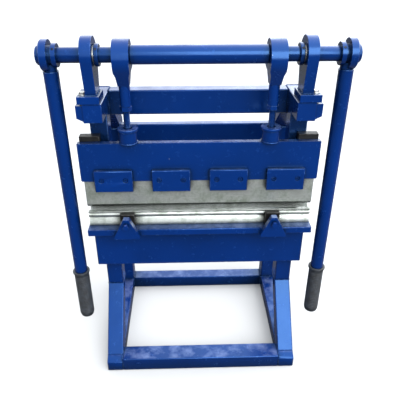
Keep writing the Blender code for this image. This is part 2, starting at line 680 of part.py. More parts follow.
def build_rod(tag, side):
    """The connecting rod on its journal, with its neck, round stem and both bores."""
    x = side * ROD_CENTRE
    axis = (x, MID_Y, JOURNAL_Z)
    swinging = pivot("rod_axis_" + tag, axis)
    half = ROD_WIDTH / 2
    neck_base = RAM_TOP + ROD_NECK_END
    neck_top = RAM_TOP + ROD_NECK_TOP
    outline = head_and_foot(MID_Y, JOURNAL_Z, ROD_HEAD, ROD_FOOT / 2, neck_base)
    rod = prism_x("con_rod_" + tag, outline, x - half, x + half, BLUE, swinging, origin=axis)
    for way in (-1, 1):
        root = x + way * ROD_STEM_RADIUS
        face = x + way * half
        wedge = [(face + way * 0.004, neck_top + 0.008), (face + way * 0.004, neck_base - 0.010)]
        wedge += [(root - way * 0.0005, neck_base - 0.010), (root + way * 0.0005, neck_base + 0.0012)]
        wedge.append((face - way * 0.0035, neck_top - 0.014))
        title = "neck_cut_%s_%d" % (tag, way)
        cut = prism_y(title, wedge, MID_Y - 0.09, MID_Y + 0.09, None, cutter=True)
        boolean(rod, cut, "DIFFERENCE")
    spot = (x, MID_Y, 0)
    stem = bar(ROD_STEM_RADIUS, STEM_END, neck_base + 0.012)
    boolean(rod, turned("rod_stem_" + tag, stem, spot, "Z", None, steps=24, cutter=True), "UNION")
    drill = bar(JOURNAL_RADIUS + TURN_GAP, -0.04, 0.04)
    boolean(rod, turned("rod_bore_" + tag, drill, axis, "X", None, cutter=True), "DIFFERENCE")
    thread_top = STEM_END + SCREW_ENGAGED
    drill = bar(SCREW_RADIUS + GAP, STEM_END - 0.014, thread_top + 0.003)
    tapped = turned("screw_bore_" + tag, drill, spot, "Z", None, steps=SMALL_ROUND, cutter=True)
    boolean(rod, tapped, "DIFFERENCE")
    build_rod_screw(tag, x, swinging, tapped, thread_top)


def build_rod_screw(tag, x, swinging, tapped, thread_top):
    """The screw in the rod's stem, whose head reaches into the ram socket, and its lock nut."""
    top = STEM_END - GAP
    across = hexagon(NUT_ACROSS, (x, MID_Y))
    seat = (x, MID_Y, top)
    nut = prism_z("lock_nut_" + tag, across, top - NUT_HEIGHT, top, BLUE, swinging, origin=seat)
    boolean(nut, tapped, "DIFFERENCE")
    head = SCREW_HEAD_RADIUS
    profile = [(0, thread_top), (SCREW_RADIUS - 0.001, thread_top), (SCREW_RADIUS, thread_top - 0.001)]
    profile += [(SCREW_RADIUS, HEAD_TOP), (head - 0.001, HEAD_TOP), (head, HEAD_TOP - 0.001)]
    profile += [(head, HEAD_BASE + 0.003), (head - 0.003, HEAD_BASE), (0, HEAD_BASE)]
    seat = (x, MID_Y, HEAD_TOP)
    name = "adjusting_screw_" + tag
    turned(name, profile, (x, MID_Y, 0), "Z", BLUE, swinging, steps=SMALL_ROUND, origin=seat)


def build_socket(tag, side, sliding):
    """A cup on the ram's top edge, with a ring screwed on it that holds the screw's head in."""
    x = side * ROD_CENTRE
    well = SCREW_HEAD_RADIUS + PIVOT_SIDE_GAP
    rim = CAP_BASE - GAP
    floor = SOCKET_BASE + SOCKET_FLOOR
    cup = [(0, SOCKET_BASE), (SOCKET_RADIUS, SOCKET_BASE), (SOCKET_RADIUS, rim)]
    cup += [(well, rim), (well, floor), (0, floor)]
    spot = (x, MID_Y, 0)
    seat = (x, MID_Y, SOCKET_BASE)
    turned("ram_socket_" + tag, cup, spot, "Z", BLUE, sliding, origin=seat)
    lid = ring(CAP_RADIUS, SCREW_RADIUS + PIVOT_SIDE_GAP, CAP_BASE, CAP_TOP, 0.001)
    turned("socket_cap_" + tag, lid, spot, "Z", BLUE, sliding, origin=(x, MID_Y, CAP_BASE))


def build_ram():
    """The sliding ram plate with its punch, clamp plates and guide shoes."""
    top = (0, MID_Y, RAM_TOP)
    sliding = pivot("ram_axis", top)
    half = RAM_WIDTH / 2
    corner = RAM_CORNER
    outline = [(-half + corner, RAM_BASE), (half - corner, RAM_BASE), (half, RAM_BASE + corner)]
    outline += [(half, RAM_TOP), (-half, RAM_TOP), (-half, RAM_BASE + corner)]
    prism_y("ram_plate", outline, RAM_FRONT, RAM_BACK, BLUE, sliding, edge=0.001, origin=top)
    long = half - PUNCH_INSET
    thick = PUNCH_THICK / 2
    joint = RAM_BASE - GAP
    shoulder = PUNCH_TIP + PUNCH_BEVEL
    outline = [(MID_Y - thick, joint), (MID_Y - thick, shoulder), (MID_Y - 0.001, PUNCH_TIP)]
    outline += [(MID_Y + 0.001, PUNCH_TIP), (MID_Y + thick, shoulder), (MID_Y + thick, joint)]
    prism_x("punch", outline, -long, long, STEEL, sliding, origin=(0, MID_Y, PUNCH_TIP))
    for number in range(4):
        build_clamp(number, sliding)
    for tag, side in SIDES:
        build_socket(tag, side, sliding)
        build_shoe(tag, side, sliding)


def build_clamp(number, sliding):
    """A plate across the joint of ram and punch, with two counterbored screw holes."""
    x = (number - 1.5) * CLAMP_PITCH
    half = CLAMP_WIDTH / 2
    top = RAM_BASE + CLAMP_RISE
    low = (x - half, RAM_FRONT - CLAMP_THICK - GAP, top - CLAMP_HEIGHT)
    high = (x + half, RAM_FRONT - GAP, top)
    plate = box("punch_clamp_%d" % (number + 1), low, high, BLUE, sliding, edge=0.0015)
    drill = bar(CLAMP_BORE, -CLAMP_BORE_DEPTH, CLAMP_BORE_DEPTH)
    for way in (-1, 1):
        across = x + way * CLAMP_BORE_SPACING / 2
        spot = (across, RAM_FRONT - CLAMP_THICK, RAM_BASE + CLAMP_BORE_ABOVE_JOINT)
        title = "clamp_bore_%d_%d" % (number + 1, way)
        boolean(plate, turned(title, drill, spot, "Y", None, steps=16, cutter=True), "DIFFERENCE")


def build_shoe(tag, side, sliding):
    """A guide bar between the ram end and the column, with a hook that wraps round the column."""
    inside = side * (FRAME_OUT + SLIDE_GAP)
    outside = side * (FRAME_OUT + SLIDE_GAP + SHOE_WALL)
    tip = side * (FRAME_OUT - SHOE_LIP_REACH)
    front = RAM_BACK + GAP
    face = COLUMN_FRONT - SLIDE_GAP
    lip = COLUMN_BACK + SLIDE_GAP
    hook_top = RAM_TOP - SHOE_DROP
    base = hook_top - SHOE_HEIGHT
    low, high = sorted((tip, outside))
    top = RAM_TOP + SHOE_RISE
    name = "guide_shoe_" + tag
    shoe = box(name, (low, front, base), (high, face, top), BLACK, sliding, edge=0.0008)
    wrap = outside - side * 0.0008
    outline = [(wrap, front + 0.004), (wrap, lip + SHOE_LIP), (tip, lip + SHOE_LIP), (tip, lip)]
    outline += [(inside, lip), (inside, front + 0.004)]
    hook = prism_z("shoe_hook_" + tag, outline, base + 0.001, hook_top, BLACK, cutter=True)
    boolean(shoe, hook, "UNION")


SIDES = (("left", -1), ("right", 1))
for side_tag, side_way in SIDES:
    build_side(side_tag, side_way)
    build_die_clamp(side_tag, side_way)
    build_pedestal(side_tag, side_way)
    build_rod(side_tag, side_way)
build_cross_members()
build_bed()
build_die()
build_shaft()
build_ram()
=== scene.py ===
# %% [markdown]
# # The looks of a hand-operated sheet metal brake
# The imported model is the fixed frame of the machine: every solid already has its size and place.
# This lesson gives each solid a finished surface and adds the small things that a maker's eye
# looks for, such as weld beads, screw threads and ribbed grips. Positions are read from the
# frame's own boxes, so nothing here has to be fitted by hand.

import json
import math

import bmesh
import bpy
from mathutils import Matrix, Vector


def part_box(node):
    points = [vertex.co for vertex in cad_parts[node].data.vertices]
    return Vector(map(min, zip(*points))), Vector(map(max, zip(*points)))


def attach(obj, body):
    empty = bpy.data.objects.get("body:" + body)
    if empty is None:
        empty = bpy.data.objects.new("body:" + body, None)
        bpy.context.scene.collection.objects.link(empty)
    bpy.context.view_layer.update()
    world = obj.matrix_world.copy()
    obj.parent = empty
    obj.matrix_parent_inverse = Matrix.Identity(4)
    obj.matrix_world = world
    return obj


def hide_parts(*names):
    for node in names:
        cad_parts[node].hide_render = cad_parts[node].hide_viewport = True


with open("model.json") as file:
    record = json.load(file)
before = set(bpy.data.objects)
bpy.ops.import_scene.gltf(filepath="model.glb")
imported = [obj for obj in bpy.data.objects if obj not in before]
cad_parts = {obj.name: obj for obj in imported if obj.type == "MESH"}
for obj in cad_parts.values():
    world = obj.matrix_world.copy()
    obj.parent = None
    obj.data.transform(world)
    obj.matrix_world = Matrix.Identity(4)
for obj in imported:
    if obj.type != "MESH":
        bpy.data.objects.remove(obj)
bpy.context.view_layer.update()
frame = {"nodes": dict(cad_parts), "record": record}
record = frame["record"]
SLOTS = {entry["node"]: entry["material_slot"] for entry in record["subparts"]}
BODY_OF = {}
for body, members in record["behaviour"]["bodies"].items():
    for member in members:
        BODY_OF[member] = body

# %% [markdown]
# ## Reading places from the frame
# A node's box gives its two opposite corners. Most new pieces only need the middle of a box or
# one of its faces, so two short helpers are enough. Metres are used throughout, as in the frame.

# %% Places
MM = 0.001


def box(node):
    low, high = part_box(node)
    return Vector(low), Vector(high)


def middle(node):
    low, high = box(node)
    return (low + high) / 2


SIDES = (("left", -1), ("right", 1))
SHAFT_AXIS = middle("shaft_sleeve")
print("shaft axis height: %.1f mm" % (SHAFT_AXIS.z / MM))

# %% [markdown]
# ## Colours and shader nodes
# Paint colours are written as sRGB hex values, the way a paint chart gives them, and one function
# turns them into the linear values that a shader needs. Every material is a small tree of nodes,
# and one helper adds a node, sets its values and feeds its inputs. A number as a key picks a socket
# by its place, which the Mix node needs because several of its sockets share a name.

# %% Colour and node helpers
def linear(hex_colour):
    parts = [int(hex_colour[place:place + 2], 16) / 255 for place in (1, 3, 5)]
    parts = [part / 12.92 if part <= 0.04045 else ((part + 0.055) / 1.055) ** 2.4 for part in parts]
    return (*parts, 1.0)


def add_node(tree, kind, settings=None, links=None):
    """Adds one shader node, sets its values and sockets, and links its inputs to other outputs."""
    made = tree.nodes.new("ShaderNode" + kind)
    for key, value in (settings or {}).items():
        if isinstance(key, str) and hasattr(made, key):
            setattr(made, key, value)
    for key, value in (settings or {}).items():
        if not (isinstance(key, str) and hasattr(made, key)):
            made.inputs[key].default_value = value
    for key, source in (links or {}).items():
        tree.links.new(source, made.inputs[key])
    return made


def new_finish(name, values):
    """A material with a Principled surface whose uniform values are set straight on its sockets."""
    look = bpy.data.materials.new(name)
    look.use_nodes = True
    shader = look.node_tree.nodes["Principled BSDF"]
    for key, value in values.items():
        shader.inputs[key].default_value = value
    return look, look.node_tree, shader


def per_size(millimetres):
    """The scale of a noise whose patches are about this many millimetres across."""
    return 1 / (millimetres * MM)


print("a 120 mm patch is a noise scale of %.1f" % per_size(120))

# %% [markdown]
# ## Where edges wear
# A brushed-on enamel goes thin on every sharp edge, and handling rubs it through. The Bevel node
# tells how much the surface would turn if its edges were rounded: where that turned normal differs
# from the flat one, there is an edge. A noise breaks the line up, since wear is never even.

# %% Edge mask
def edge_mask(tree, coords, width_mm, patch_mm, amount):
    """1 along worn edges and 0 elsewhere. A larger amount wears more of each edge."""
    rounded = add_node(tree, "Bevel", {"samples": 4, "Radius": width_mm * MM})
    flat = add_node(tree, "NewGeometry")
    turned = add_node(tree, "VectorMath", {"operation": "DOT_PRODUCT"},
                      {0: rounded.outputs["Normal"], 1: flat.outputs["Normal"]})
    corner = add_node(tree, "MapRange", {"From Min": 0.995, "From Max": 0.93},
                      {"Value": turned.outputs["Value"]})
    patches = add_node(tree, "TexNoise", {"Scale": per_size(patch_mm), "Detail": 4.0, "Roughness": 0.7},
                       {"Vector": coords})
    broken = add_node(tree, "MapRange", {"From Min": 0.62 - amount, "From Max": 0.70 - amount},
                      {"Value": patches.outputs["Fac"]})
    worn = add_node(tree, "Math", {"operation": "MULTIPLY"},
                    {0: corner.outputs["Result"], 1: broken.outputs["Result"]})
    return worn.outputs["Value"]


# %% [markdown]
# ## Dust and a painted sky sheen on faces that look up
# Workshop dust lies on faces that look up and slides off the others, and its pale lavender also paints in
# the sky's reflection on those faces. The surface's own normal says which faces those are, and a noise
# of 35 mm patches, wiped clean here and there, breaks it up.

# %% Dust and painted sheen mask
def dust_and_sky_sheen_mask(tree, coords):
    """Dust with a painted sky sheen: under a third of full cover, on level faces that look up, and 0 on
    walls and undersides.
    """
    facing = add_node(tree, "SeparateXYZ", links={0: add_node(tree, "NewGeometry").outputs["Normal"]})
    level = add_node(tree, "MapRange", {"From Min": 0.93, "From Max": 0.995},
                     {"Value": facing.outputs["Z"]})
    patches = add_node(tree, "TexNoise", {"Scale": per_size(35), "Detail": 8.0, "Roughness": 0.62},
                       {"Vector": coords})
    lying = add_node(tree, "MapRange", {"From Min": 0.44, "From Max": 0.72, "To Max": 0.30},
                     {"Value": patches.outputs["Fac"]})
    dust = add_node(tree, "Math", {"operation": "MULTIPLY"},
                    {0: level.outputs["Result"], 1: lying.outputs["Result"]})
    return dust.outputs["Value"]


# %% [markdown]
# ## Painted shade in closed-in places
# Shade is painted into the colour where the surface is closed in: in a groove, in the gap above the die
# and in the corners of the stand. The Ambient Occlusion node tells how closed in a point is within a reach.

# %% Painted shade mask
def painted_shade_mask(tree, reach_mm, strength):
    """Painted shade: up to this strength where the surface is closed in within this reach, and 0 in the
    open.
    """
    closed_in = add_node(tree, "AmbientOcclusion", {"samples": 6, "Distance": reach_mm * MM})
    shade_amount = add_node(tree, "MapRange", {"From Min": 0.90, "From Max": 0.50, "To Max": strength},
                     {"Value": closed_in.outputs["AO"]})
    return shade_amount.outputs["Result"]


# %% [markdown]
# ## Where the paint is chipped
# Sheet corners knock small flakes out of the enamel. A Voronoi texture has one point in each of its
# cells, here about 17 mm apart, and a narrow band of the distance to it is a spot under a millimetre
# across. A noise of 60 mm patches keeps the spots to a few places.

# %% Chip mask
def chip_mask(tree, coords):
    """1 on small chips in some patches and 0 elsewhere."""
    cells = add_node(tree, "TexVoronoi", {"Scale": per_size(17), "Randomness": 1.0}, {"Vector": coords})
    chips = add_node(tree, "MapRange", {"From Min": 0.055, "From Max": 0.035},
                     {"Value": cells.outputs["Distance"]})
    patchy = add_node(tree, "TexNoise", {"Scale": per_size(60), "Detail": 2.0}, {"Vector": coords})
    where = add_node(tree, "MapRange", {"From Min": 0.67, "From Max": 0.70},
                     {"Value": patchy.outputs["Fac"]})
    chipped = add_node(tree, "Math", {"operation": "MULTIPLY"},
                       {0: chips.outputs["Result"], 1: where.outputs["Result"]})
    return chipped.outputs["Value"]


# %% [markdown]
# ## Blue enamel
# The frame, ram and levers are welded steel under a thick coat of gloss alkyd enamel, brushed on by
# hand. A dielectric with an IOR of 1.5 gives its shine, and a pale blue tint keeps the sky that it
# mirrors from looking chalky. The colour is not one flat blue: the coat is darker where it lies
# thick, rubbed patches are paler, dusty level tops are paler with a painted sky sheen, and closed-in
# places are darkened with painted shade. A noise of 140 mm patches makes the coat uneven,
# one of 22 mm makes the rubs, and a fine bump, longer one way than the other, is the brush marks.

# %% Blue enamel
def blue_enamel():
    look, tree, shader = new_finish("gloss_blue_enamel", {
        "IOR": 1.5, "Metallic": 0.0, "Specular IOR Level": 0.7, "Specular Tint": linear("#7DB6FF")})
    coords = add_node(tree, "TexCoord").outputs["Object"]
    coat = add_node(tree, "TexNoise", {"Scale": per_size(140), "Detail": 3.0}, {"Vector": coords})
    colour = add_node(tree, "Mix", {"data_type": "RGBA", 6: linear("#001746"), 7: linear("#002260")},
                      {0: coat.outputs["Fac"]})
    rubs = add_node(tree, "TexNoise", {"Scale": per_size(22), "Detail": 8.0, "Roughness": 0.75},
                    {"Vector": coords})
    rubbed = add_node(tree, "MapRange", {"From Min": 0.58, "From Max": 0.80, "To Max": 0.16},
                      {"Value": rubs.outputs["Fac"]})
    colour = add_node(tree, "Mix", {"data_type": "RGBA", 7: linear("#1B4C96")},
                      {0: rubbed.outputs["Result"], 6: colour.outputs[2]})
    worn = edge_mask(tree, coords, width_mm=1.4, patch_mm=9, amount=0.06)
    colour = add_node(tree, "Mix", {"data_type": "RGBA", 7: linear("#5474A8")},
                      {0: worn, 6: colour.outputs[2]})
    colour = add_node(tree, "Mix", {"data_type": "RGBA", 7: linear("#B9C0CC")},
                      {0: chip_mask(tree, coords), 6: colour.outputs[2]})
    # Dust with a painted sky sheen: level faces that look up turn a pale lavender in patches.
    colour = add_node(tree, "Mix", {"data_type": "RGBA", 7: linear("#8E9CC0")},
                      {0: dust_and_sky_sheen_mask(tree, coords), 6: colour.outputs[2]})
    # Painted shade: the coat turns near black where it is closed in, in corners and between parts.
    colour = add_node(tree, "Mix", {"data_type": "RGBA", 7: linear("#04101F")},
                      {0: painted_shade_mask(tree, reach_mm=80, strength=0.85), 6: colour.outputs[2]})
    tree.links.new(colour.outputs[2], shader.inputs["Base Color"])
    gloss = add_node(tree, "MapRange", {"From Min": 0.3, "From Max": 0.75, "To Min": 0.13, "To Max": 0.34},
                     {"Value": rubs.outputs["Fac"]})
    tree.links.new(gloss.outputs["Result"], shader.inputs["Roughness"])
    brush = add_node(tree, "Mapping", {"Scale": (1.0, 0.35, 1.0)}, {"Vector": coords})
    marks = add_node(tree, "TexNoise", {"Scale": per_size(4), "Detail": 3.0},
                     {"Vector": brush.outputs["Vector"]})
    bump = add_node(tree, "Bump", {"Strength": 0.35, "Distance": 0.12 * MM},
                    {"Height": marks.outputs["Fac"]})
    tree.links.new(bump.outputs["Normal"], shader.inputs["Normal"])
    return look


# %% [markdown]
# ## Ground tool steel
# The punch and the die are tool steel finished on a surface grinder, whose wheel runs along the
# piece and leaves fine parallel lines. A bright metal keeps the default IOR. The lines are drawn
# 0.8 mm apart, coarser than the real grit, so that they show. Stains of old oil and storage rust
# give the greenish and brown mottling of steel that has stood in a workshop.

# %% Ground tool steel
def ground_tool_steel():
    look, tree, shader = new_finish("ground_tool_steel", {"Metallic": 1.0})
    coords = add_node(tree, "TexCoord").outputs["Object"]
    along = add_node(tree, "Mapping", {"Scale": (0.012, 1.0, 1.0)}, {"Vector": coords})
    lines = add_node(tree, "TexNoise", {"Scale": per_size(0.8), "Detail": 3.0},
                     {"Vector": along.outputs["Vector"]})
    ground = add_node(tree, "Mix", {"data_type": "RGBA", 6: linear("#A9AFA9"), 7: linear("#E2E6E3")},
                      {0: lines.outputs["Fac"]})
    oil = add_node(tree, "TexNoise", {"Scale": per_size(30), "Detail": 6.0, "Roughness": 0.7},
                   {"Vector": coords})
    stained = add_node(tree, "MapRange", {"From Min": 0.44, "From Max": 0.66, "To Max": 0.8},
                       {"Value": oil.outputs["Fac"]})
    colour = add_node(tree, "Mix", {"data_type": "RGBA", 7: linear("#7F887B")},
                      {0: stained.outputs["Result"], 6: ground.outputs[2]})
    rust = add_node(tree, "TexNoise", {"Scale": per_size(9), "Detail": 8.0, "Roughness": 0.8},
                    {"Vector": coords})
    rusty = add_node(tree, "MapRange", {"From Min": 0.60, "From Max": 0.70, "To Max": 0.6},
                     {"Value": rust.outputs["Fac"]})
    colour = add_node(tree, "Mix", {"data_type": "RGBA", 7: linear("#6A5F50")},
                      {0: rusty.outputs["Result"], 6: colour.outputs[2]})
    bright = edge_mask(tree, coords, width_mm=0.6, patch_mm=20, amount=0.2)
    colour = add_node(tree, "Mix", {"data_type": "RGBA", 7: linear("#F4F6F5")},
                      {0: bright, 6: colour.outputs[2]})
    # Painted shade: the steel darkens where it is closed in, in the die's grooves and the gap under the
    # punch.
    colour = add_node(tree, "Mix", {"data_type": "RGBA", 7: linear("#2A2C2B")},
                      {0: painted_shade_mask(tree, reach_mm=24, strength=0.9), 6: colour.outputs[2]})
    tree.links.new(colour.outputs[2], shader.inputs["Base Color"])
    dull = add_node(tree, "MapRange", {"From Min": 0.3, "From Max": 0.7, "To Min": 0.30, "To Max": 0.52},
                    {"Value": oil.outputs["Fac"]})
    tree.links.new(dull.outputs["Result"], shader.inputs["Roughness"])
    bump = add_node(tree, "Bump", {"Strength": 0.25, "Distance": 0.05 * MM},
                    {"Height": lines.outputs["Fac"]})
    tree.links.new(bump.outputs["Normal"], shader.inputs["Normal"])
    return look


# %% [markdown]
# ## Blackened steel, plated steel and grip rubber
# The guide shoes and die clamp blocks are blackened in hot oil, which leaves a dark skin with a
# faint film and grey rubbed edges. The bushes and foot bolts are zinc plated, a pale metal with a
# soft cloudiness. The grips are moulded rubber, which is matt, dusty and slightly pitted.

# %% Three smaller finishes
def blackened_steel():
    look, tree, shader = new_finish("oil_blackened_steel", {"Metallic": 0.7})
    coords = add_node(tree, "TexCoord").outputs["Object"]
    film = add_node(tree, "TexNoise", {"Scale": per_size(12), "Detail": 6.0}, {"Vector": coords})
    skin = add_node(tree, "Mix", {"data_type": "RGBA", 6: linear("#121314"), 7: linear("#262524")},
                    {0: film.outputs["Fac"]})
    worn = edge_mask(tree, coords, width_mm=0.9, patch_mm=6, amount=0.15)
    colour = add_node(tree, "Mix", {"data_type": "RGBA", 7: linear("#5E5C59")},
                      {0: worn, 6: skin.outputs[2]})
    tree.links.new(colour.outputs[2], shader.inputs["Base Color"])
    sheen = add_node(tree, "MapRange", {"From Min": 0.3, "From Max": 0.7, "To Min": 0.35, "To Max": 0.6},
                     {"Value": film.outputs["Fac"]})
    tree.links.new(sheen.outputs["Result"], shader.inputs["Roughness"])
    return look


def zinc_plated_steel():
    look, tree, shader = new_finish("zinc_plated_steel", {"Metallic": 1.0})
    coords = add_node(tree, "TexCoord").outputs["Object"]
    cloud = add_node(tree, "TexNoise", {"Scale": per_size(5), "Detail": 5.0}, {"Vector": coords})
    colour = add_node(tree, "Mix", {"data_type": "RGBA", 6: linear("#8E8F8C"), 7: linear("#C9CAC6")},
                      {0: cloud.outputs["Fac"]})
    tree.links.new(colour.outputs[2], shader.inputs["Base Color"])
    blur = add_node(tree, "MapRange", {"To Min": 0.25, "To Max": 0.5}, {"Value": cloud.outputs["Fac"]})
    tree.links.new(blur.outputs["Result"], shader.inputs["Roughness"])
    return look


def moulded_rubber():
    look, tree, shader = new_finish("moulded_grip_rubber", {"IOR": 1.52, "Metallic": 0.0})
    coords = add_node(tree, "TexCoord").outputs["Object"]
    dust = add_node(tree, "TexNoise", {"Scale": per_size(14), "Detail": 7.0, "Roughness": 0.7},
                    {"Vector": coords})
    dusty = add_node(tree, "MapRange", {"From Min": 0.42, "From Max": 0.75}, {"Value": dust.outputs["Fac"]})
    colour = add_node(tree, "Mix", {"data_type": "RGBA", 6: linear("#101317"), 7: linear("#2C323A")},
                      {0: dusty.outputs["Result"]})
    tree.links.new(colour.outputs[2], shader.inputs["Base Color"])
    matt = add_node(tree, "MapRange", {"To Min": 0.45, "To Max": 0.75}, {"Value": dust.outputs["Fac"]})
    tree.links.new(matt.outputs["Result"], shader.inputs["Roughness"])
    pits = add_node(tree, "TexNoise", {"Scale": per_size(1.2), "Detail": 2.0}, {"Vector": coords})
    bump = add_node(tree, "Bump", {"Strength": 0.4, "Distance": 0.15 * MM}, {"Height": pits.outputs["Fac"]})
    tree.links.new(bump.outputs["Normal"], shader.inputs["Normal"])
    return look


FINISHES = {
    "blue_enamel": blue_enamel(),
    "tool_steel": ground_tool_steel(),
    "black_steel": blackened_steel(),
    "plated_steel": zinc_plated_steel(),
    "grip_rubber": moulded_rubber(),
}
print("finishes:", ", ".join(look.name for look in FINISHES.values()))

# %% [markdown]
# ## A softened skin over each solid
# The frame's solids have hard edges, but sawn, filed and painted steel never does: each edge is
# slightly round and catches a thin line of light. Each node is copied, its loose triangles are
# merged into one skin, flat areas are joined, and a narrow Bevel rounds what is left. Round pieces
# are shaded smooth up to 35 degrees. The skin then stands for its node and moves with its body.

# %% Skins
ROUNDING = {"blue_enamel": 0.9, "tool_steel": 0.25, "black_steel": 0.5, "plated_steel": 0.3}
SMOOTH_UP_TO = math.radians(35)
ROUND_FROM = math.radians(40)


def keep_piece(name, bm, slot_name, body):
    """Turns a finished bmesh into a piece of the machine that moves with one body."""
    mesh = bpy.data.meshes.new(name)
    bm.to_mesh(mesh)
    bm.free()
    mesh.shade_smooth()
    mesh.set_sharp_from_angle(angle=SMOOTH_UP_TO)
    piece = bpy.data.objects.new(name, mesh)
    bpy.context.scene.collection.objects.link(piece)
    mesh.materials.append(FINISHES[slot_name])
    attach(piece, body)
    return piece


def soften(piece, width_mm):
    """Rounds the edges of a piece over this width."""
    edge = piece.modifiers.new("soft_edge", "BEVEL")
    edge.width = width_mm * MM
    edge.segments = 2
    edge.limit_method = "ANGLE"
    edge.angle_limit = ROUND_FROM
    edge.use_clamp_overlap = True
    edge.harden_normals = True


def skin_of(node):
    bm = bmesh.new()
    bm.from_mesh(frame["nodes"][node].data)
    bmesh.ops.remove_doubles(bm, verts=bm.verts, dist=0.01 * MM)
    bmesh.ops.dissolve_limit(bm, angle_limit=math.radians(0.5), verts=bm.verts, edges=bm.edges)
    skin = keep_piece(node + "_skin", bm, SLOTS[node], BODY_OF[node])
    soften(skin, ROUNDING[SLOTS[node]])
    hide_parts(node)
    return skin


skinned = [skin_of(node) for node in sorted(frame["nodes"]) if SLOTS[node] in ROUNDING]
print("skins:", len(skinned))

# %% [markdown]
# ## Turned shapes
# Grips, washers and screw heads are round, so each is a half outline swept round an axis with
# bmesh's spin. The outline is given as radius and height. A full spin merges its seam, doubles on
# the axis are merged, and the normals are made to point outwards at the end.

# %% Turning helper
def turn_outline(bm, outline, matrix=None, steps=40):
    """Spins a closed half outline of (radius, height) points in mm about Z, then places it."""
    spots = [bm.verts.new((radius * MM, 0, height * MM)) for radius, height in outline]
    edges = [bm.edges.new(pair) for pair in zip(spots, spots[1:])]
    if outline[0][0] > 0:
        edges.append(bm.edges.new((spots[-1], spots[0])))
    before = set(bm.verts) - set(spots)
    bmesh.ops.spin(bm, geom=spots + edges, axis=(0, 0, 1), cent=(0, 0, 0), angle=math.tau, steps=steps,
                   use_merge=True)
    fresh = [vert for vert in bm.verts if vert not in before]
    bmesh.ops.remove_doubles(bm, verts=fresh, dist=0.002 * MM)
    fresh = [vert for vert in bm.verts if vert not in before]
    if matrix is not None:
        bmesh.ops.transform(bm, matrix=matrix, verts=fresh)
    bmesh.ops.recalc_face_normals(bm, faces=bm.faces)


# %% [markdown]
# ## Ribbed grips
# A moulded grip is a rubber sleeve pushed over the lever's end, with raised rings for the palm and
# a flared collar that keeps the hand from sliding up. The rings are cut into the half outline, one
# shallow groove every 6 mm, so they are real shape and catch the light from every side.

# %% Ribbed grips
RIB_PITCH = 6.0
RIB_DEPTH = 0.9
COLLAR_STEP = 3.0
RUBBER_WALL = 2.4
FIRST_RIB = 12.0
PLAIN_END = 26
CLOSED_TIP = 6
DOME_HEIGHT = 16
DOME_STEPS = 6


def grip_outline(radius, length):
    """Half outline of a grip in millimetres, from its bore's floor round to its closed tip."""
    body = radius - COLLAR_STEP
    bore = body - RUBBER_WALL
    outline = [(0.0, -length + CLOSED_TIP), (bore, -length + CLOSED_TIP), (bore, 0)]
    outline += [(radius - 1.2, 0), (radius - 0.3, -0.6)]
    outline += [(radius, -1.8), (radius, -5.0), (radius - 0.6, -6.4), (body + 0.4, -9.5)]
    height = -FIRST_RIB
    while height > -length + PLAIN_END:
        groove = body - RIB_DEPTH
        outline += [(body, height), (body, height - RIB_PITCH * 0.55)]
        outline += [(groove, height - RIB_PITCH * 0.68), (groove, height - RIB_PITCH * 0.87)]
        height -= RIB_PITCH
    outline.append((body, height))
    for step in range(DOME_STEPS):
        angle = math.radians(90 * step / DOME_STEPS)
        outline.append((body * math.cos(angle), -length + DOME_HEIGHT * (1 - math.sin(angle))))
    outline.append((0.0, -length))
    return outline


def ribbed_grip(tag):
    node = "lever_grip_" + tag
    low, high = box(node)
    centre = (low + high) / 2
    outline = grip_outline((high.x - low.x) / 2 / MM, (high.z - low.z) / MM)
    bm = bmesh.new()
    turn_outline(bm, outline, Matrix.Translation((centre.x, centre.y, high.z)), steps=48)
    grip = keep_piece("ribbed_grip_" + tag, bm, "grip_rubber", BODY_OF[node])
    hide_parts(node)
    return grip


for tag, _ in SIDES:
    made = ribbed_grip(tag)
    print(made.name, "faces:", len(made.data.polygons))

# %% [markdown]
# ## Socket-head screws in the clamp plates
# Two screws pull each clamp plate against the ram, with heads sunk in round counterbores. A head is
# a hexagon joined to a circle: the hexagon's loop goes down for the key, and the circle's loop goes
# out and back for the knurled rim. Bridging the two loops makes the flat ring between them.

# %% Socket-head screws
def loop_edges(verts):
    wanted = set(verts)
    edges = {edge for vert in verts for edge in vert.link_edges}
    return [edge for edge in edges if set(edge.verts) <= wanted]


def push_loop(bm, edges, drop_mm, grow=1.0):
    """Extrudes a loop of edges by this depth and scales the new loop about the Z axis."""
    made = bmesh.ops.extrude_edge_only(bm, edges=edges)["geom"]
    verts = [item for item in made if isinstance(item, bmesh.types.BMVert)]
    bmesh.ops.scale(bm, vec=(grow, grow, 1), verts=verts)
    bmesh.ops.translate(bm, vec=(0, 0, -drop_mm * MM), verts=verts)
    return [item for item in made if isinstance(item, bmesh.types.BMEdge) and set(item.verts) <= set(verts)]


RIM_CHAMFER = 0.6


def socket_head(bm, head_mm, key_mm, depth_mm, matrix):
    """A cap screw's head with its top at Z = 0, a hexagon socket in it and its rim chamfered."""
    before = set(bm.verts)
    key = bmesh.ops.create_circle(bm, segments=6, radius=key_mm * MM / math.sqrt(3))["verts"]
    rim = bmesh.ops.create_circle(bm, segments=24, radius=(head_mm / 2 - RIM_CHAMFER) * MM)["verts"]
    key_edges, rim_edges = loop_edges(key), loop_edges(rim)
    bmesh.ops.bridge_loops(bm, edges=key_edges + rim_edges)
    floor = push_loop(bm, key_edges, depth_mm * 0.5, 0.97)
    skirt = push_loop(bm, rim_edges, RIM_CHAMFER, head_mm / (head_mm - 2 * RIM_CHAMFER))
    base = push_loop(bm, skirt, depth_mm)
    bmesh.ops.contextual_create(bm, geom=floor)
    bmesh.ops.contextual_create(bm, geom=base)
    fresh = [vert for vert in bm.verts if vert not in before]
    bmesh.ops.transform(bm, matrix=matrix, verts=fresh)


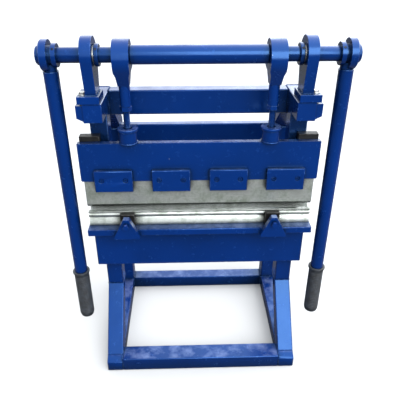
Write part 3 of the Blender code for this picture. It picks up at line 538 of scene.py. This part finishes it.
CLAMP_SCREW = {"head_mm": 11.4, "key_mm": 5.2, "depth_mm": 4.0}
FACING_FRONT = Matrix.Rotation(math.radians(90), 4, "X")
BORE_SPACING = 60 * MM
BORE_HEIGHT = box("ram_plate")[0].z + 8 * MM
HEAD_SUNK = 1.6 * MM
bm = bmesh.new()
for number in range(1, 5):
    low, high = box("punch_clamp_%d" % number)
    for way in (-0.5, 0.5):
        seat = Vector(((low.x + high.x) / 2 + way * BORE_SPACING, low.y + HEAD_SUNK, BORE_HEIGHT))
        # No two screws stop at the same angle when they are tightened.
        twist = Matrix.Rotation(math.radians(17 * number + 40 * way), 4, "Z")
        socket_head(bm, matrix=Matrix.Translation(seat) @ FACING_FRONT @ twist, **CLAMP_SCREW)
bmesh.ops.recalc_face_normals(bm, faces=bm.faces)
clamp_screws = keep_piece("punch_clamp_screws", bm, "blue_enamel", "ram")
print(clamp_screws.name, "faces:", len(clamp_screws.data.polygons))

# %% [markdown]
# ## Set screws in the collars and hubs
# Each collar and each lever hub is locked to the shaft by a small set screw in its rim. The same
# socket head serves, smaller and turned to stand on the round surface. It faces up and forward,
# where an operator can reach it with a key.

# %% Set screws
SET_SCREW = {"head_mm": 5.8, "key_mm": 2.6, "depth_mm": 2.5}
LEAN = math.radians(48)
HUB_RADIUS = 26.0 * MM
HUB_INSET = 5 * MM
PROUD = 0.7 * MM
bm = bmesh.new()
for tag, side in SIDES:
    low, high = box("shaft_collar_" + tag)
    hub_low, hub_high = box("lever_hub_" + tag)
    inner_end = hub_low.x if side > 0 else hub_high.x
    spots = [((low.x + high.x) / 2, (high.z - low.z) / 2), (inner_end + side * HUB_INSET, HUB_RADIUS)]
    for x, radius in spots:
        out = Matrix.Translation((x, SHAFT_AXIS.y, SHAFT_AXIS.z)) @ Matrix.Rotation(LEAN, 4, "X")
        socket_head(bm, matrix=out @ Matrix.Translation((0, 0, radius + PROUD)), **SET_SCREW)
bmesh.ops.recalc_face_normals(bm, faces=bm.faces)
set_screws = keep_piece("shaft_set_screws", bm, "black_steel", "shaft")
print(set_screws.name, "faces:", len(set_screws.data.polygons))

# %% [markdown]
# ## Screw threads
# Each adjusting screw shows its thread between the socket and the lock nut. A thread is a small
# three-cornered ridge that climbs as it goes round: spin takes a lift per step for that. The
# ridge's foot sinks into the core, so no gap shows. A 2 mm pitch suits a 15 mm screw.

# %% Screw threads
PITCH = 2.0
CORE_RADIUS = 7.1
RIDGE_HEIGHT = 1.0
TURN_STEPS = 20


def thread(tag):
    centre = middle("adjusting_screw_" + tag)
    start = box("socket_cap_" + tag)[1].z - 2 * MM
    end = box("lock_nut_" + tag)[0].z + 1 * MM
    turns = math.floor((end - start) / (PITCH * MM))
    bm = bmesh.new()
    foot = PITCH * 0.42
    corners = ((CORE_RADIUS, -foot), (CORE_RADIUS + RIDGE_HEIGHT, 0), (CORE_RADIUS, foot))
    spots = [bm.verts.new((radius * MM, 0, height * MM)) for radius, height in corners]
    edges = [bm.edges.new(pair) for pair in zip(spots, spots[1:] + spots[:1])]
    bmesh.ops.spin(bm, geom=spots + edges, axis=(0, 0, 1), cent=(0, 0, 0), angle=math.tau * turns,
                   steps=TURN_STEPS * turns, dvec=(0, 0, PITCH * MM / TURN_STEPS))
    ends = [edge for edge in bm.edges if edge.is_boundary]
    bmesh.ops.holes_fill(bm, edges=ends)
    bmesh.ops.translate(bm, vec=(centre.x, centre.y, start + PITCH * 0.5 * MM), verts=bm.verts)
    bmesh.ops.recalc_face_normals(bm, faces=bm.faces)
    return keep_piece("screw_thread_" + tag, bm, "blue_enamel", BODY_OF["adjusting_screw_" + tag]), turns


for tag, _ in SIDES:
    ridge, turns = thread(tag)
    print(ridge.name, "turns:", turns)

# %% [markdown]
# ## Washers under the foot bolts
# A plated washer spreads each foot bolt's pull. It is a thin ring with softly rounded rims, turned
# from a five-sided half outline, and it lies on the pedestal's foot under the bolt's head.

# %% Washers
WASHER = [(9.0, 1.3), (9.4, 0.9), (9.4, 0.0), (4.9, 0.0), (4.9, 1.3)]
BOLT_HEAD = 6.5 * MM


def foot_top(tag):
    """The height of the pedestal foot's top, one bolt head below the top of its bolt."""
    return box("foot_bolt_" + tag)[1].z - BOLT_HEAD


bm = bmesh.new()
for tag, _ in SIDES:
    bolt = middle("foot_bolt_" + tag)
    turn_outline(bm, WASHER, Matrix.Translation((bolt.x, bolt.y, foot_top(tag))), steps=32)
washers = keep_piece("foot_bolt_washers", bm, "plated_steel", "frame")
print(washers.name, "faces:", len(washers.data.polygons))

# %% [markdown]
# ## Weld beads
# The stand is arc welded, and each joint shows a bead whose ripples follow the pool as it froze.
# A bead starts as a circle round the seam's first point. Its loop is extruded along the seam again
# and again, a little wider and a little narrower by turns, and drawn in at both ends.

# %% Bead helper
RIPPLE = 1.9 * MM
FULL, SLIM, TOE = 3.0, 2.4, 2.6


def weld_bead(bm, start, end, throat_mm=FULL):
    """Lays one rippled bead from start to end. Half of it lies hidden in the steel."""
    start, end = Vector(start), Vector(end)
    run = end - start
    steps = max(4, round(run.length / RIPPLE * 2))
    turn = run.to_track_quat("Z", "Y").to_matrix().to_4x4()
    bead = bmesh.new()
    ring = bmesh.ops.create_circle(bead, segments=8, radius=throat_mm * MM / 2, cap_ends=True,
                                   matrix=Matrix.Translation(start) @ turn)["verts"]
    edges = loop_edges(ring)
    size = 1.0
    for step in range(1, steps + 1):
        # Wide and narrow take turns, a slow wave makes them uneven, and both ends taper.
        wanted = 1.0 + 0.13 * (-1) ** step + 0.09 * math.sin(step * 1.7)
        wanted *= min(1.0, 0.55 + 0.15 * min(step, steps - step))
        made = bmesh.ops.extrude_edge_only(bead, edges=edges)["geom"]
        verts = [item for item in made if isinstance(item, bmesh.types.BMVert)]
        edges = loop_edges(verts)
        here = start + run * (step - 1) / steps
        grow = wanted / size
        bmesh.ops.scale(bead, vec=(grow, grow, grow), verts=verts, space=Matrix.Translation(-here))
        bmesh.ops.translate(bead, vec=run / steps, verts=verts)
        size = wanted
    bmesh.ops.contextual_create(bead, geom=edges)
    bmesh.ops.recalc_face_normals(bead, faces=bead.faces)
    laid = bpy.data.meshes.new("bead")
    bead.to_mesh(laid)
    bead.free()
    bm.from_mesh(laid)
    bpy.data.meshes.remove(laid)


print("a 100 mm bead has about", round(100 * MM / RIPPLE), "ripples")

# %% [markdown]
# ## Where the beads run
# A welder closes each end of a cross tube along its top, its bottom and its two upright edges, runs
# round the foot of each pedestal plate, and stitches the apron under the bed plate. The four edges
# of a tube's end come from its box, so one function serves every cross tube.

# %% Beads on the frame
END_INSET = 1.9 * MM
POST_INSET = 1.6 * MM
FLOOR_GAP = 3 * MM


def ring_the_end(bm, node, x, floor=False):
    """Beads round the end of a cross tube at this X, leaving out the underside on the floor."""
    low, high = box(node)
    front, back = low.y + END_INSET, high.y - END_INSET
    for y in (front, back):
        weld_bead(bm, (x, y, low.z + FLOOR_GAP), (x, y, high.z))
    weld_bead(bm, (x, front, high.z), (x, back, high.z))
    if not floor:
        weld_bead(bm, (x, front, low.z), (x, back, low.z))


bm = bmesh.new()
for tag, side in SIDES:
    column_low, column_high = box("front_column_" + tag)
    inner = column_low.x if side > 0 else column_high.x
    for node in ("top_crossbeam", "rear_beam", "rear_floor_tube", "front_floor_tube"):
        ring_the_end(bm, node, inner, floor=node.endswith("floor_tube"))
    leg_low, leg_high = box("front_leg_" + tag)
    for x in (leg_low.x, leg_high.x):
        weld_bead(bm, (x, column_low.y, leg_high.z), (x, column_high.y, leg_high.z), SLIM)
    for y in (column_low.y, column_high.y):
        weld_bead(bm, (leg_low.x, y, leg_high.z), (leg_high.x, y, leg_high.z), SLIM)
    weld_bead(bm, (leg_low.x, leg_low.y, leg_low.z), (leg_high.x, leg_low.y, leg_low.z), TOE)
    post_low, post_high = box("rear_post_" + tag)
    for z in (post_low.z, post_high.z):
        for y in (post_low.y, post_high.y - POST_INSET):
            weld_bead(bm, (post_low.x, y, z), (post_high.x, y, z), SLIM)
    rail_low, rail_high = box("top_rail_" + tag)
    for x in (post_low.x, post_high.x):
        weld_bead(bm, (x, rail_high.y, rail_low.z), (x, rail_high.y, rail_high.z), SLIM)
    weld_bead(bm, (post_low.x, rail_high.y, rail_high.z), (post_high.x, rail_high.y, rail_high.z), SLIM)
    outer = column_high.x if side > 0 else column_low.x
    weld_bead(bm, (outer, column_low.y, rail_low.z), (outer, column_high.y, rail_low.z))
frame_beads = keep_piece("frame_weld_beads", bm, "blue_enamel", "frame")
print(frame_beads.name, "faces:", len(frame_beads.data.polygons))

# %% Beads on the pedestals and the bed
PLATE_X = 25.5 / 2 * MM
PLATE_Y = 25 * MM
FOOT_THROAT = 4.2
TACK_SPACING = 40 * MM
TACK = {"half": 7 * MM, "throat": 2.6}
STITCH = {"half": 22 * MM, "throat": 3.4}
STITCHES = 6


def short_bead(bm, x, y, z, size):
    """A tack or a stitch along X with its middle at this point."""
    weld_bead(bm, (x - size["half"], y, z), (x + size["half"], y, z), size["throat"])


bed_low, bed_high = box("bed_plate")
bm = bmesh.new()
for tag, _ in SIDES:
    bush = middle("pedestal_bush_" + tag)
    foot_z = foot_top(tag)
    for x in (bush.x - PLATE_X, bush.x + PLATE_X):
        weld_bead(bm, (x, bush.y - PLATE_Y, foot_z), (x, bush.y + PLATE_Y, foot_z), FOOT_THROAT)
    for y in (bush.y - PLATE_Y, bush.y + PLATE_Y):
        weld_bead(bm, (bush.x - PLATE_X, y, foot_z), (bush.x + PLATE_X, y, foot_z), FOOT_THROAT)
    low, high = box("die_clamp_bracket_" + tag)
    for way in (-0.5, 0.5):
        short_bead(bm, (low.x + high.x) / 2 + way * TACK_SPACING, high.y, bed_high.z, TACK)
apron_low, apron_high = box("apron_beam")
for number in range(STITCHES):
    x = apron_low.x + (apron_high.x - apron_low.x) * (number + 0.5) / STITCHES
    for y in (apron_low.y, apron_high.y):
        short_bead(bm, x, y, bed_low.z, STITCH)
bed_beads = keep_piece("bed_weld_beads", bm, "blue_enamel", "frame")
print(bed_beads.name, "faces:", len(bed_beads.data.polygons))

# %% [markdown]
# ## Beads on the moving parts
# The lever hubs and the sockets on the ram are welded too. A round seam is a bead bent into a ring.
# A chain of short straight beads would show its corners, so the ring is turned from a small round
# outline instead, and its vertices are moved a little up and down all the way round for ripples.

# %% Round beads
OUTLINE_POINTS = 8
RIPPLES = 36
SOCKET_RING = {"radius_mm": 22.0, "throat_mm": 3.4}
TUBE_RING = {"radius_mm": 16.6, "throat_mm": 3.0}
EYE_RING = {"radius_mm": 21.0, "throat_mm": 3.0}
SOCKET_LIFT = 0.8 * MM
EYE_INSET = 10.8 * MM


def round_bead(bm, centre, radius_mm, throat_mm, axis="Z"):
    """A rippled ring bead about the axis through centre."""
    before = set(bm.verts)
    half = throat_mm / 2
    outline = []
    for step in range(OUTLINE_POINTS):
        angle = math.tau * step / OUTLINE_POINTS
        outline.append((radius_mm + half * math.cos(angle), half * math.sin(angle)))
    turn_outline(bm, outline, steps=2 * RIPPLES)
    fresh = [vert for vert in bm.verts if vert not in before]
    for vert in fresh:
        angle = math.atan2(vert.co.y, vert.co.x)
        vert.co.z *= 1.0 + 0.16 * math.sin(RIPPLES * angle)
    place = Matrix.Translation(centre)
    if axis == "X":
        place = place @ Matrix.Rotation(math.radians(90), 4, "Y")
    bmesh.ops.transform(bm, matrix=place, verts=fresh)


bm = bmesh.new()
for tag, _ in SIDES:
    seat = middle("ram_socket_" + tag)
    round_bead(bm, (seat.x, seat.y, box("ram_socket_" + tag)[0].z + SOCKET_LIFT), **SOCKET_RING)
ram_beads = keep_piece("socket_weld_beads", bm, "blue_enamel", "ram")
bm = bmesh.new()
for tag, side in SIDES:
    tube = middle("lever_tube_" + tag)
    round_bead(bm, (tube.x, tube.y, box("lever_tube_" + tag)[1].z), **TUBE_RING)
    eye_low, eye_high = box("lever_hub_" + tag)
    eye_x = (eye_high.x if side > 0 else eye_low.x) - side * EYE_INSET
    round_bead(bm, (eye_x, SHAFT_AXIS.y, SHAFT_AXIS.z), axis="X", **EYE_RING)
lever_beads = keep_piece("lever_weld_beads", bm, "blue_enamel", "shaft")
print(ram_beads.name, lever_beads.name)

# %% [markdown]
# ## The camera
# The machine is seen from the front, a little left of its middle, by someone who stands close and
# looks down at the bed. The camera's three directions are worked out from its pitch and yaw.

# %% Camera
PITCH_DOWN, YAW, ROLL = math.radians(29.2258), math.radians(-1.7728), math.radians(-0.0036)
EYE = (-0.0326, -1.1694, 1.1036)
LENS_MM = 42.3
forward = Vector((-math.sin(YAW) * math.cos(PITCH_DOWN), math.cos(YAW) * math.cos(PITCH_DOWN),
                  -math.sin(PITCH_DOWN)))
level = Vector((math.cos(YAW), math.sin(YAW), 0))
upright = level.cross(forward)
across = math.cos(ROLL) * level + math.sin(ROLL) * upright
above = -math.sin(ROLL) * level + math.cos(ROLL) * upright
lens = bpy.data.cameras.new("camera")
lens.lens = LENS_MM
lens.sensor_width = 36
camera = bpy.data.objects.new("camera", lens)
bpy.context.scene.collection.objects.link(camera)
turned = Matrix((across, above, -forward)).transposed().to_4x4()
camera.matrix_world = Matrix.Translation(EYE) @ turned
bpy.context.scene.camera = camera
bpy.context.scene.view_settings.view_transform = "Standard"
print("lens: %.1f mm" % lens.lens)

# %% [markdown]
# ## A pale floor that stays quiet
# A glossy enamel mirrors whatever is round it, so a white floor would wash out every upright face.
# The Light Path node tells a camera ray from the others: seen straight on, the floor is pale, and
# to reflections and to bounced light it is dark, as a workshop floor is. The front faces stay deep.

# %% Floor
FLOOR_RADIUS = 20
FLOOR_SEEN = (0.42, 0.42, 0.42, 1)
FLOOR_MIRRORED = (0.09, 0.09, 0.09, 1)
bm = bmesh.new()
bmesh.ops.create_circle(bm, cap_ends=True, segments=64, radius=FLOOR_RADIUS)
ground = bpy.data.meshes.new("floor")
bm.to_mesh(ground)
bm.free()
floor = bpy.data.objects.new("floor", ground)
bpy.context.scene.collection.objects.link(floor)
floor_look, floor_tree, floor_shader = new_finish("pale_floor", {
    "Base Color": FLOOR_SEEN, "Roughness": 0.9, "Specular IOR Level": 0.0})
quiet = add_node(floor_tree, "BsdfDiffuse", {"Color": FLOOR_MIRRORED})
seen = add_node(floor_tree, "LightPath").outputs["Is Camera Ray"]
mixed = add_node(floor_tree, "MixShader", links={
    0: seen, 1: quiet.outputs["BSDF"], 2: floor_shader.outputs["BSDF"]})
floor_tree.links.new(mixed.outputs["Shader"], floor_tree.nodes["Material Output"].inputs["Surface"])
ground.materials.append(floor_look)
print("floor:", 2 * FLOOR_RADIUS, "m across")

# %% [markdown]
# ## Soft light from a broad sky
# The world is a soft white dome that is dark along the horizon and brighter to the right, so faces
# that look up whiten, upright ones stay deep and the right side is a little lighter than the left.
# Behind the machine, camera rays see one plain white instead. One broad soft panel to the front
# right draws the long highlights on the shaft and lights the sloping legs.

# %% Sky
DIM_SIDE, BRIGHT_SIDE = 2.0, 4.4
HORIZON = 0.3
PLAIN_BACK = 1.1
world = bpy.data.worlds.new("studio")
bpy.context.scene.world = world
world.use_nodes = True
around = world.node_tree
heading = add_node(around, "SeparateXYZ", links={0: add_node(around, "TexCoord").outputs["Generated"]})
brighter = add_node(around, "MapRange", {"From Min": -0.22, "From Max": 0.28, "To Min": DIM_SIDE,
                                          "To Max": BRIGHT_SIDE}, {"Value": heading.outputs["X"]})
sky = add_node(around, "MapRange", {"From Min": 0.0, "From Max": 0.12, "To Min": HORIZON},
               {"Value": heading.outputs["Z"], "To Max": brighter.outputs["Result"]})
plain = add_node(around, "Mix", {"data_type": "FLOAT", 3: PLAIN_BACK}, {
    0: add_node(around, "LightPath").outputs["Is Camera Ray"], 2: sky.outputs["Result"]})
around.links.new(plain.outputs[0], around.nodes["Background"].inputs["Strength"])
around.nodes["Background"].inputs["Color"].default_value = (0.94, 0.97, 1, 1)
print("sky: %.1f to %.1f" % (DIM_SIDE, BRIGHT_SIDE))

# %% Panel
def soft_panel(name, place, aim, size, watts):
    """A rectangular soft light that faces the aim."""
    panel = bpy.data.lights.new(name, "AREA")
    panel.shape = "RECTANGLE"
    panel.size, panel.size_y = size
    panel.energy = watts
    holder = bpy.data.objects.new(name, panel)
    bpy.context.scene.collection.objects.link(holder)
    toward = (Vector(aim) - Vector(place)).to_track_quat("-Z", "Y").to_matrix().to_4x4()
    holder.matrix_world = Matrix.Translation(place) @ toward


soft_panel("panel_front", place=(0.9, -3.0, 2.3), aim=(0, 0, 0.4), size=(2.2, 2.2), watts=105)
print("panels:", len(bpy.data.lights))
